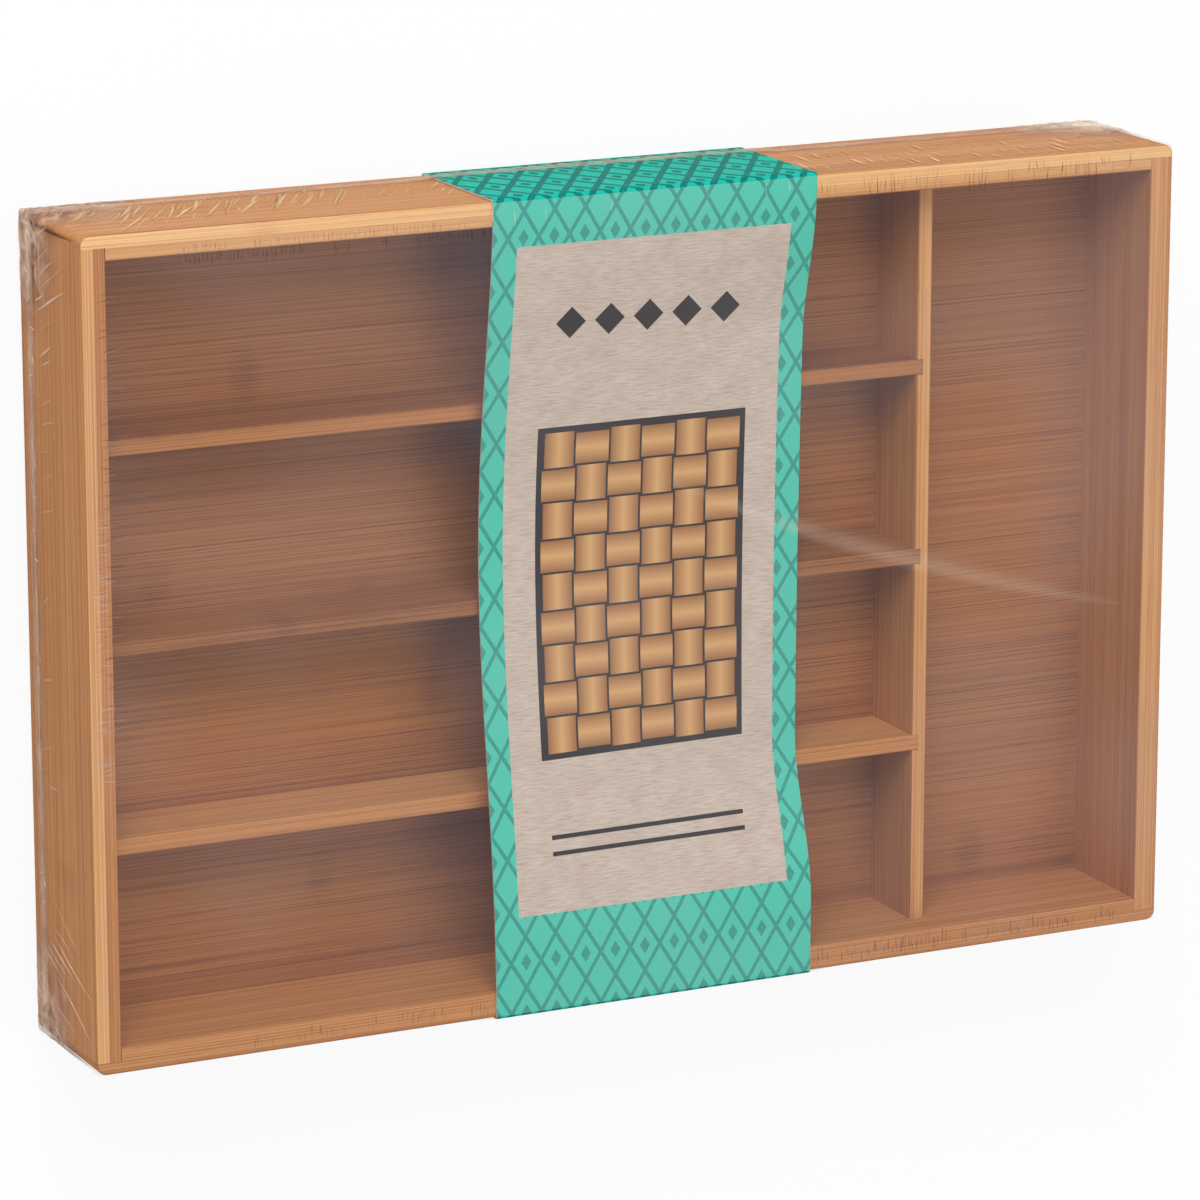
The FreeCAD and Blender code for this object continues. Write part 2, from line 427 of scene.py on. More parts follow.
def sag(profile, share):
    """Share of the deepest drop at a share of the way from the front fold to the back fold."""
    skew, flatness, front_start, front_end, back_share = profile
    arch = max(math.sin(math.pi * share ** skew), 0.0) ** flatness
    front = smooth((share - front_start) / (front_end - front_start))
    return arch * front * smooth((1 - share) / back_share)


def face_outline(card, column_share):
    """Outer side of the sagging face from the front fold to the back fold, as Y and Z."""
    reach = CARD_HALF_WIDTH - card.fold_radius
    deepest = CARD_TOP - CARD_THICKNESS - DIVIDER_TOP - card.clearance
    points = []
    for step in range(FACE_STEPS + 1):
        share = step / FACE_STEPS
        left = sag(LEFT_SAG, share)
        drop = deepest * (left + (sag(RIGHT_SAG, share) - left) * column_share)
        points.append(Vector((reach * (2 * share - 1), CARD_TOP - drop)))
    return points


def wrap_outline(card):
    """Outer side of the sides and the underside, from the face's front end to its back end."""
    radius = card.fold_radius
    flat = CARD_HALF_WIDTH - radius
    high = CARD_TOP - radius
    low = CARD_BOTTOM + radius
    points = fold(Vector((-flat, high)), math.pi / 2, math.pi / 2, radius)
    points += straight(Vector((-CARD_HALF_WIDTH, high)), Vector((-CARD_HALF_WIDTH, low)), SIDE_STEPS)
    points += fold(Vector((-flat, low)), math.pi, math.pi / 2, radius)
    points += straight(Vector((-flat, CARD_BOTTOM)), Vector((flat, CARD_BOTTOM)), UNDER_STEPS)
    points += fold(Vector((flat, low)), -math.pi / 2, math.pi / 2, radius)
    points += straight(Vector((CARD_HALF_WIDTH, low)), Vector((CARD_HALF_WIDTH, high)), SIDE_STEPS)
    points += fold(Vector((flat, high)), 0, math.pi / 2, radius)
    return points + [Vector((flat, CARD_TOP))]


def card_strip(name, outline_at, inward, curl, printed_at):
    """A strip of card whose outer side follows its outlines, with its thickness to one hand.

    outline_at gives the outline at a share of the way from the left edge to the right. inward is 1 or
    -1, the hand of the outline on which the card lies. printed_at gives the place on the unfolded
    sheet, along the strip, for a distance along the outline.
    """
    columns = [step / CARD_COLUMNS for step in range(CARD_COLUMNS + 1)]
    outlines = [outline_at(share) for share in columns]
    rows = len(outlines[0])
    places = {}
    for column, outline in enumerate(outlines):
        x = SLEEVE_WIDTH * columns[column]
        distance = [0.0]
        for before, after in zip(outline, outline[1:]):
            distance.append(distance[-1] + (after - before).length)
        rise = curl * (1 - smooth(min(x, SLEEVE_WIDTH - x) / CURL_REACH))
        for row, point in enumerate(outline):
            along = outline[min(row + 1, rows - 1)] - outline[max(row - 1, 0)]
            normal = Vector((-along.y, along.x)).normalized() * inward
            lift = rise * math.sin(math.pi * row / (rows - 1))
            spot = (x, printed_at(distance[row], distance[-1]))
            for layer, depth in enumerate((-lift, CARD_THICKNESS - lift)):
                place = point + normal * depth
                places[row, column, layer] = ((SLEEVE_LEFT + x, place.x, place.y), spot)
    ordered = [places[key] for key in sorted(places)]
    verts = [vert for vert, spot in ordered]
    sheet = [spot for vert, spot in ordered]
    width = len(columns)

    def at(row, column, layer):
        """Number of a point of the strip."""
        return (row * width + column) * 2 + layer

    faces = []
    sides = []
    for row in range(rows - 1):
        for column in range(width - 1):
            for layer in (0, 1):
                corners = [at(row, column, layer), at(row, column + 1, layer),
                           at(row + 1, column + 1, layer), at(row + 1, column, layer)]
                faces.append(corners if (layer == 0) == (inward < 0) else corners[::-1])
                sides.append(layer)
        for column in (0, width - 1):
            corners = [at(row, column, 0), at(row + 1, column, 0),
                       at(row + 1, column, 1), at(row, column, 1)]
            faces.append(corners if (column == 0) == (inward < 0) else corners[::-1])
            sides.append(1)
    for row in (0, rows - 1):
        for column in range(width - 1):
            corners = [at(row, column, 0), at(row, column, 1),
                       at(row, column + 1, 1), at(row, column + 1, 0)]
            faces.append(corners if (row == 0) == (inward < 0) else corners[::-1])
            sides.append(1)

    piece = mesh_object(name, verts, faces)
    for polygon, side in zip(piece.data.polygons, sides):
        polygon.material_index = side
    layer = piece.data.uv_layers.new(name="sheet")
    for loop in piece.data.loops:
        layer.data[loop.index].uv = sheet[loop.vertex_index]
    return piece


# Kraft paper: length and width of a fibre, turns of its layers in radians, how high they stand, and
# the size of a blotch. Real fibres are finer, and so is the grain of ink and board. All are drawn as
# coarse as they need to be to show.
KRAFT_FIBRE = (5 * MM, 0.45 * MM)
KRAFT_TURNS = (0.06, -0.14, 0.3)
KRAFT_RELIEF = 0.12 * MM
KRAFT_RELIEF_STRENGTH = 0.25
KRAFT_BLOTCH = 9 * MM
INK_GRAIN = 0.7 * MM
BOARD_GRAIN = 0.7 * MM

# Where noise begins to show as fibres, blotches, worn ink or board grain, and how much it shows.
# A woven strip darkens likewise from its middle to its sides.
KRAFT_FIBRES = {"From Min": 0.48, "From Max": 0.72, "To Max": 0.42}
KRAFT_BLOTCHES = {"From Min": 0.35, "From Max": 0.7, "To Max": 0.3}
INK_COVER = {"From Min": 0.3, "From Max": 0.7, "To Min": 0.6, "To Max": 0.9}
BOARD_FIBRES = {"From Min": 0.35, "From Max": 0.75, "To Max": 0.5}
ROUND_STRIP = {"From Min": 0.5, "From Max": 0.0}
CARD_ROUGHNESS = 0.55
BOARD_ROUGHNESS = 0.85

# Printing: lattice, frame of the panel, gaps of the weave, row of lozenges and rules
LATTICE_STRETCH = 1.6
LATTICE_LINE_SHARE = 0.07
SIDE_LINE_SHARE = 0.12
LATTICE_HEART_SHARE = 0.17
FRAME_LINE = 1.8 * MM
WEAVE_GAP_SHARE = 0.06
LOZENGE_ROW = 212 * MM
LOZENGE_PITCH = 13 * MM
LOZENGE_COUNT = 5
LOZENGE_HALF = 5 * MM
RULES = (48 * MM, 53 * MM)
RULE_WIDTH = 1.4 * MM


def printed_card(card, face_length):
    """Matt printed carton: flat inks on a kraft ground whose own fibres show.

    Teal bands with a lozenge lattice run round the edges. A woven panel, a row of lozenges and two
    rules stand on the kraft ground.
    """
    material, tree, surface = new_material("printed_card")
    sheet = add(tree, "ShaderNodeUVMap", uv_map="sheet")
    split = add(tree, "ShaderNodeSeparateXYZ", {0: sheet})
    across, along = split.outputs[0], split.outputs[1]
    centre = SLEEVE_WIDTH / 2
    charcoal = opaque(card.charcoal)
    fibre = opaque(card.kraft_fibre)

    def area(*tests):
        """1 where every value is within half of its middle. A test is a value, middle and half."""
        inside = [add(tree, "ShaderNodeMath", {0: value, 1: middle, 2: half}, operation="COMPARE")
                  for value, middle, half in tests]
        shown = inside[0]
        for other in inside[1:]:
            shown = add(tree, "ShaderNodeMath", {0: shown, 1: other}, operation="MULTIPLY")
        return shown

    def cell(value, pitch):
        """Distance from the edge of a cell, in cells, from 0 to 0.5."""
        folded = add(tree, "ShaderNodeMath", {0: value, 1: pitch / 2}, operation="PINGPONG")
        return add(tree, "ShaderNodeMath", {0: folded, 1: pitch}, operation="DIVIDE")

    def laid(colour, *layers):
        """A colour with others laid over it in turn. A layer is where it shows and its colour."""
        for shown, over in layers:
            mixed = add(tree, "ShaderNodeMix", {0: shown, 6: colour, 7: over}, data_type="RGBA")
            colour = mixed.outputs[2]
        return colour

    # Kraft paper: short fibres that lie nearly across the sleeve, and slow blotches
    hazes = []
    for turn in KRAFT_TURNS:
        turned = add(tree, "ShaderNodeMapping",
                     {"Vector": sheet, "Rotation": (0, 0, turn),
                      "Scale": (1 / KRAFT_FIBRE[0], 1 / KRAFT_FIBRE[1], 1)})
        hairs = add(tree, "ShaderNodeTexNoise", {"Vector": turned, "Scale": 1.0, "Detail": 1.0})
        shown = add(tree, "ShaderNodeMapRange", {"Value": hairs, **KRAFT_FIBRES})
        hazes.append((shown, fibre))
    blotch = add(tree, "ShaderNodeTexNoise", {"Vector": sheet, "Scale": 1 / KRAFT_BLOTCH})
    shaded = add(tree, "ShaderNodeMapRange", {"Value": blotch, **KRAFT_BLOTCHES})
    paper = laid(opaque(card.kraft), *hazes, (shaded, fibre))

    # Teal bands with their lozenge lattice, drawn heavier on the sides than on the face. The distances
    # both ways add up to 0.5 on the lozenges' outlines, and to 0 in the hearts of half of them.
    lattice = add(tree, "ShaderNodeMath",
                  {0: cell(across, card.lattice_pitch),
                   1: cell(along, LATTICE_STRETCH * card.lattice_pitch)},
                  operation="ADD")
    on_face = area((along, face_length / 2, face_length / 2))
    line_half = add(tree, "ShaderNodeMix", {0: on_face, 2: SIDE_LINE_SHARE, 3: LATTICE_LINE_SHARE},
                    data_type="FLOAT")
    on_line = area((lattice, 0.5, line_half))
    in_heart = area((lattice, 0.0, LATTICE_HEART_SHARE))
    drawn = add(tree, "ShaderNodeMath", {0: on_line, 1: in_heart}, operation="MAXIMUM")
    ink = add(tree, "ShaderNodeTexNoise", {"Vector": sheet, "Scale": 1 / INK_GRAIN})
    worn = add(tree, "ShaderNodeMapRange", {"Value": ink, **INK_COVER})
    inked = add(tree, "ShaderNodeMath", {0: drawn, 1: worn}, operation="MULTIPLY")
    ground = laid(opaque(card.side_teal), (on_face, opaque(card.teal)))
    lines = laid(opaque(card.side_ink), (on_face, opaque(card.deep_teal)))
    kraft_middle = (card.front_band + face_length - card.back_band) / 2
    kraft_half = (face_length - card.back_band - card.front_band) / 2
    on_kraft = area((across, centre, centre - card.side_band), (along, kraft_middle, kraft_half))

    # Woven panel in a charcoal frame
    half_width = card.panel_width / 2
    half_length = card.panel_length / 2
    in_panel = add(tree, "ShaderNodeVectorMath",
                   {0: sheet, 1: (centre - half_width, card.panel_middle - half_length, 0)},
                   operation="SUBTRACT")
    panel_split = add(tree, "ShaderNodeSeparateXYZ", {0: in_panel})
    panel_across, panel_along = panel_split.outputs[0], panel_split.outputs[1]
    strips = []
    for value in (panel_across, panel_along):
        counted = add(tree, "ShaderNodeMath", {0: value, 1: card.weave_pitch}, operation="DIVIDE")
        strips.append(add(tree, "ShaderNodeMath", {0: counted}, operation="FLOOR"))
    total = add(tree, "ShaderNodeMath", {0: strips[0], 1: strips[1]}, operation="ADD")
    odd = add(tree, "ShaderNodeMath", {0: total, 1: 2.0}, operation="FLOORED_MODULO")
    side_on = add(tree, "ShaderNodeMix",
                  {0: odd, 2: cell(panel_across, card.weave_pitch),
                   3: cell(panel_along, card.weave_pitch)},
                  data_type="FLOAT")
    round_strip = add(tree, "ShaderNodeMapRange", {"Value": side_on, **ROUND_STRIP})
    strip = laid(opaque(card.strip_light), (round_strip, opaque(card.strip_dark)),
                 (area((side_on, 0.0, WEAVE_GAP_SHARE)), charcoal))
    framed = area((across, centre, half_width + FRAME_LINE),
                  (along, card.panel_middle, half_length + FRAME_LINE))
    woven = area((across, centre, half_width), (along, card.panel_middle, half_length))

    # Row of lozenges above the panel, two rules below it
    from_middle = add(tree, "ShaderNodeMath", {0: across, 1: centre}, operation="SUBTRACT")
    sideways = add(tree, "ShaderNodeMath", {0: from_middle, 1: LOZENGE_PITCH / 2}, operation="PINGPONG")
    upright = add(tree, "ShaderNodeMath", {0: along, 1: LOZENGE_ROW}, operation="SUBTRACT")
    height = add(tree, "ShaderNodeMath", {0: upright}, operation="ABSOLUTE")
    taxicab = add(tree, "ShaderNodeMath", {0: sideways, 1: height}, operation="ADD")
    lozenges = area((taxicab, 0.0, LOZENGE_HALF),
                    (across, centre, LOZENGE_COUNT * LOZENGE_PITCH / 2))
    marks = [(on_kraft, paper), (framed, charcoal), (woven, strip), (lozenges, charcoal)]
    for rule in RULES:
        marks.append((area((along, rule, RULE_WIDTH / 2), (across, centre, half_width)), charcoal))

    relief = add(tree, "ShaderNodeBump",
                 {"Height": hairs, "Strength": KRAFT_RELIEF_STRENGTH, "Distance": KRAFT_RELIEF})
    feed(tree, surface, {"Base Color": laid(ground, (inked, lines), *marks), "Normal": relief,
                         "Roughness": CARD_ROUGHNESS, "Specular IOR Level": 0.0})
    return material


def bare_board(card):
    """Grey white carton, uncoated: matt, with faint fibres."""
    material, tree, surface = new_material("bare_board")
    place = add(tree, "ShaderNodeTexCoord")
    fibres = add(tree, "ShaderNodeTexNoise",
                 {"Vector": place.outputs["Object"], "Scale": 1 / BOARD_GRAIN, "Detail": 3.0})
    shown = add(tree, "ShaderNodeMapRange", {"Value": fibres, **BOARD_FIBRES})
    tone = add(tree, "ShaderNodeMix",
               {0: shown, 6: opaque(card.board), 7: opaque(card.kraft_fibre)},
               data_type="RGBA")
    feed(tree, surface, {"Base Color": tone.outputs[2], "Roughness": BOARD_ROUGHNESS})
    return material


class TRAY_OT_fold_sleeve(bpy.types.Operator):
    """Fold the printed card sleeve round the tray"""

    bl_idname = "tray.fold_sleeve"
    bl_label = "Fold Sleeve"

    def execute(self, context):
        card = context.scene.tray_sleeve
        middle = face_outline(card, 0.5)
        face_length = sum((after - before).length for before, after in zip(middle, middle[1:]))

        def on_face(distance, total):
            """Place on the sheet for a distance along the face, scaled to the length at its middle."""
            return face_length * distance / total

        def on_wrap(distance, total):
            """Place on the sheet, back from the front fold, scaled so that the lattice meets."""
            period = LATTICE_STRETCH * card.lattice_pitch
            printed = round((total + face_length) / period) * period - face_length
            return -printed * distance / total

        face = card_strip("sleeve_face", lambda share: face_outline(card, share), -1, card.edge_curl,
                          on_face)
        wrap = card_strip("sleeve_wrap", lambda share: wrap_outline(card), 1, 0.0, on_wrap)
        finishes = printed_card(card, face_length), bare_board(card)
        for piece in (face, wrap):
            for material in finishes:
                piece.data.materials.append(material)
            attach(piece, "sleeve")
        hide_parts("sleeve_face_panel")
        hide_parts("sleeve_under_panel", "sleeve_front_side", "sleeve_back_side")
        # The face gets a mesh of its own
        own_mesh(face)
        return {"FINISHED"}


# Crumpled film: how far it reaches from a corner of the pack, the share of that at full strength, and
# how strong it is at each corner and by a seam
CRUMPLE_REACH = (46 * MM, 42 * MM, 38 * MM)
CRUMPLE_CORE = 0.25
CRUMPLE_SHARES = {(-1, 1): 1.0, (1, 1): 1.0, (-1, -1): 0.8, (1, -1): 0.7}
SEAM_REACH = 4 * MM
SEAM_CRUMPLE_SHARE = 0.3

# Sharp lines between facets: their width, and the size and height of the finer ones
CREST_SHARE = 0.15
FINE_CREST_SHARE = 0.45
FINE_CREST_HEIGHT = 0.7

# Milk with painted highlight by each corner, in patches, on sharp lines and along a seam, and the
# painted shade in dents
CORNER_MILK_AND_SHEEN = {(-1, 1): 0.12, (1, 1): 0.45, (-1, -1): 0.2, (1, -1): 0.25}
PATCH_MILK_AND_SHEEN = 0.5
CREST_MILK_AND_SHEEN = 0.4
SEAM_MILK_AND_SHEEN = 0.3
SEAM_PATCH = 0.6
CRUMPLE_SHADE = 0.6

# Veil of haze and painted reflection over the lanes: size of its clouds, its least and greatest milk,
# and its rise past the sleeve
VEIL_LENGTH = 45 * MM
VEIL = (0.042, 0.072)
VEIL_RISE = 0.5

# Points across a rounded edge, as shares of its radius, and the cells that keep creases apart
EDGE_SHARES = (0.0, 0.25, 0.6)
CREASE_CELL = 1.0 * MM


class FilmShape:
    """Where the shrunk film lies: a box with rounded edges, a little off the boards and the card."""

    # Axis that each creased side is square to, and the way it faces
    SIDES = {"left": (0, -1), "front": (1, -1), "back": (1, 1), "open": (2, 1)}
    # Sets the noise that makes dents apart from the noise that makes crests
    DENT_SHIFT = Vector((5.3, 2.7, 8.1))

    def __init__(self, wrap):
        self.wrap = wrap
        self.low = Vector((-HALF_LENGTH, -HALF_WIDTH, FOOT))
        self.high = Vector((HALF_LENGTH, HALF_WIDTH, RIM))
        self.taken = set()

    def claim(self, side, places, width):
        """Take the cells of a side that a crease needs, or give False if another crease has some."""
        shifts = [Vector((x, y)) * width / 2 for x in (-1, 0, 1) for y in (-1, 0, 1)]
        spots = [place + shift for place in places for shift in shifts]
        cells = {(side, round(spot.x / CREASE_CELL), round(spot.y / CREASE_CELL)) for spot in spots}
        if cells & self.taken:
            return False
        self.taken |= cells
        return True

    def off(self, point):
        """How far the film stands off the boards at a place."""
        beside = max(SLEEVE_LEFT - point.x, point.x - SLEEVE_RIGHT, 0.0)
        over_card = (CARD_TOP - RIM) * (1 - smooth(beside / self.wrap.tent))
        wave = noise.noise(point / self.wrap.swell_length)
        return self.wrap.gap + over_card + self.wrap.swell * (0.5 + 0.5 * wave)

    def crumpled(self, point):
        """How much the film is crumpled at a place, from 0 to 1."""
        corner = (math.copysign(1, point.x), math.copysign(1, point.y))
        away = (HALF_LENGTH - abs(point.x), HALF_WIDTH - abs(point.y), point.z - FOOT)
        distance = math.hypot(*(gap / reach for gap, reach in zip(away, CRUMPLE_REACH)))
        fading = smooth((distance - CRUMPLE_CORE) / (1 - CRUMPLE_CORE))
        return max(CRUMPLE_SHARES[corner] * (1 - fading), SEAM_CRUMPLE_SHARE * self.by_seam(point))

    def by_seam(self, point):
        """How close a place is to a welded seam, from 0 to 1."""
        beside = point.x <= self.low.x or point.y >= self.high.y
        return 1 - smooth(abs(point.z - SEAM_Z) / SEAM_REACH) if beside else 0.0

    def crest(self, point):
        """Sharp lines where facets of crumpled film meet, from 0 to 1."""
        length = self.wrap.crumple_length
        coarse = 1 - min(abs(noise.noise(point / length)) / CREST_SHARE, 1)
        fine = 1 - min(abs(noise.noise(point / length / FINE_CREST_SHARE)) / CREST_SHARE, 1)
        return max(coarse, FINE_CREST_HEIGHT * fine)

    def rounded(self, point):
        """Where a point of the sharp box lies on the film, and the film's milk with painted highlight,
        and its painted shade, there.
        """
        radius = self.wrap.edge_radius
        core = Vector(min(max(p, low + radius), high - radius)
                      for p, low, high in zip(point, self.low, self.high))
        normal = (point - core).normalized()
        crumple = self.crumpled(point)
        crest = self.crest(point)
        place = core + normal * (radius + self.off(point) + self.wrap.crumple * crumple * crest)
        dents = smooth(0.5 + noise.noise(point / self.wrap.crumple_length + self.DENT_SHIFT))
        return place, self.milk_and_sheen(point, crumple, crest), CRUMPLE_SHADE * crumple * dents * (1 - crest)

    def milk_and_sheen(self, point, crumple, crest):
        """How milky the film is, with painted highlight: on creases, in patches by the corners, and in
        a veil of painted reflection over the lanes.
        """
        patch = max(noise.noise(point / self.wrap.crumple_length), 0.0)
        corner = (math.copysign(1, point.x), math.copysign(1, point.y))
        creased = crumple * (CORNER_MILK_AND_SHEEN[corner] * crumple + PATCH_MILK_AND_SHEEN * patch + CREST_MILK_AND_SHEEN * crest)
        creased += SEAM_MILK_AND_SHEEN * self.by_seam(point) * smooth(SEAM_PATCH + patch)
        # Over the lanes, a veil of haze and painted reflection, stronger right of the sleeve
        veil = 0.0
        if point.z >= self.high.z:
            veil = VEIL[0] + (VEIL[1] - VEIL[0]) * smooth(0.5 + noise.noise(point / VEIL_LENGTH))
            veil *= 1 + VEIL_RISE * smooth((point.x - SLEEVE_RIGHT) / SLEEVE_WIDTH)
        return min(creased + veil, 1.0)

    def on(self, side, first, second, lift):
        """Place lifted off one side, from two places along it."""
        axis, way = self.SIDES[side]
        places = [first, second]
        places.insert(axis, (self.high if way > 0 else self.low)[axis])
        point = Vector(places)
        normal = Vector((0, 0, 0))
        normal[axis] = way
        return point + normal * (self.off(point) + lift)

    def holds(self, side, place):
        """True where a place is on the flat part of a side."""
        margin = self.wrap.edge_radius / 2
        ranges = list(zip(self.low, self.high))
        del ranges[self.SIDES[side][0]]
        return all(low + margin < at < high - margin for at, (low, high) in zip(place, ranges))


def stations(low, high, fine_low, fine_high, wrap):
    """Places from low to high: closest on the rounded edges, close where the film is crumpled."""
    edge = wrap.edge_radius
    rounding = [share * edge for share in EDGE_SHARES]
    marks = [low + edge, low + fine_low, high - fine_high, high - edge]
    places = [low + step for step in rounding]
    for start, end, step in zip(marks, marks[1:], (wrap.fine_grid, wrap.grid, wrap.fine_grid)):
        count = round((end - start) / step)
        places += [start + (end - start) * index / count for index in range(count)]
    return places + [marks[-1]] + [high - step for step in reversed(rounding)]


def film_piece(name, verts, faces, milk_and_sheen, shade):
    """A piece of film, with its milkiness and painted highlight, and its painted shade, on each point.
    """
    piece = mesh_object(name, verts, faces)
    for label, values in (("milk_and_sheen", milk_and_sheen), ("shade", shade)):
        piece.data.attributes.new(label, "FLOAT", "POINT").data.foreach_set("value", values)
    return piece


def film_sheet(shape):
    """The sheet itself: five closed sides, and a lip turned in over the slit right end."""
    wrap = shape.wrap
    reach_x, reach_y, reach_z = CRUMPLE_REACH
    xs = stations(shape.low.x, shape.high.x, reach_x, reach_x, wrap)
    ys = stations(shape.low.y, shape.high.y, reach_y, reach_y, wrap)
    zs = stations(shape.low.z, shape.high.z, reach_z, wrap.edge_radius, wrap)
    verts = []
    milk_and_sheen = []
    shade = []
    index = {}

    def corner(x, y, z):
        """Number of the film's point over a place of the sharp box."""
        key = (round(x, 7), round(y, 7), round(z, 7))
        if key not in index:
            index[key] = len(verts)
            place, milk_and_sheen_share, shaded = shape.rounded(Vector((x, y, z)))
            verts.append(place)
            milk_and_sheen.append(milk_and_sheen_share)
            shade.append(shaded)
        return index[key]

    faces = []

    def patch(first, second, place, flip):
        """Faces between the stations of two directions."""
        for a_low, a_high in zip(first, first[1:]):
            for b_low, b_high in zip(second, second[1:]):
                quad = [place(a_low, b_low), place(a_high, b_low),
                        place(a_high, b_high), place(a_low, b_high)]
                faces.append(quad[::-1] if flip else quad)

    patch(xs, ys, lambda x, y: corner(x, y, shape.high.z), False)
    patch(xs, ys, lambda x, y: corner(x, y, shape.low.z), True)
    patch(xs, zs, lambda x, z: corner(x, shape.high.y, z), True)
    patch(xs, zs, lambda x, z: corner(x, shape.low.y, z), False)
    patch(ys, zs, lambda y, z: corner(shape.low.x, y, z), True)
    low_lip = [z for z in zs if z - FOOT < wrap.lip]
    high_lip = [z for z in zs if RIM - z < wrap.lip]
    between = [low_lip[-1]] + [z for z in zs if low_lip[-1] < z < high_lip[0]] + [high_lip[0]]
    front_lip = [y for y in ys if y + HALF_WIDTH < wrap.lip]
    back_lip = [y for y in ys if HALF_WIDTH - y < wrap.lip]
    for first, second in ((ys, low_lip), (ys, high_lip), (front_lip, between), (back_lip, between)):
        patch(first, second, lambda y, z: corner(shape.high.x, y, z), False)
    return film_piece("film_sheet", verts, faces, milk_and_sheen, shade)


# Ranges that creases, specks and ripples are drawn from. Headings, bends and leans are in radians,
# milk with its painted highlight and the painted shade are shares of what the row or the call gives.
CREASE_BEND = (-0.3, 0.3)
CREASE_HEIGHT = (0.08 * MM, 0.2 * MM)
CREASE_MILK_AND_SHEEN = (0.3, 1.0)
CREASE_SHADE = (0.2, 1.0)
SPECK_HEADING = (-0.9, 0.9)
SPECK_LENGTH = (2 * MM, 6 * MM)
SPECK_BEND = (-1.5, 1.5)
SPECK_WIDTH = (0.4 * MM, 0.8 * MM)
RIPPLE_LEAN = (-0.16, 0.16)
RIPPLE_HEIGHT = (0.04 * MM, 0.1 * MM)
RIPPLE_MILK_AND_SHEEN = (0.2, 1.0)
RIPPLE_SHADE = (0.3, 1.0)

# Now and then the ripples along the rim pause
PAUSE_SHARE = 0.06
PAUSE = (3 * MM, 9 * MM)


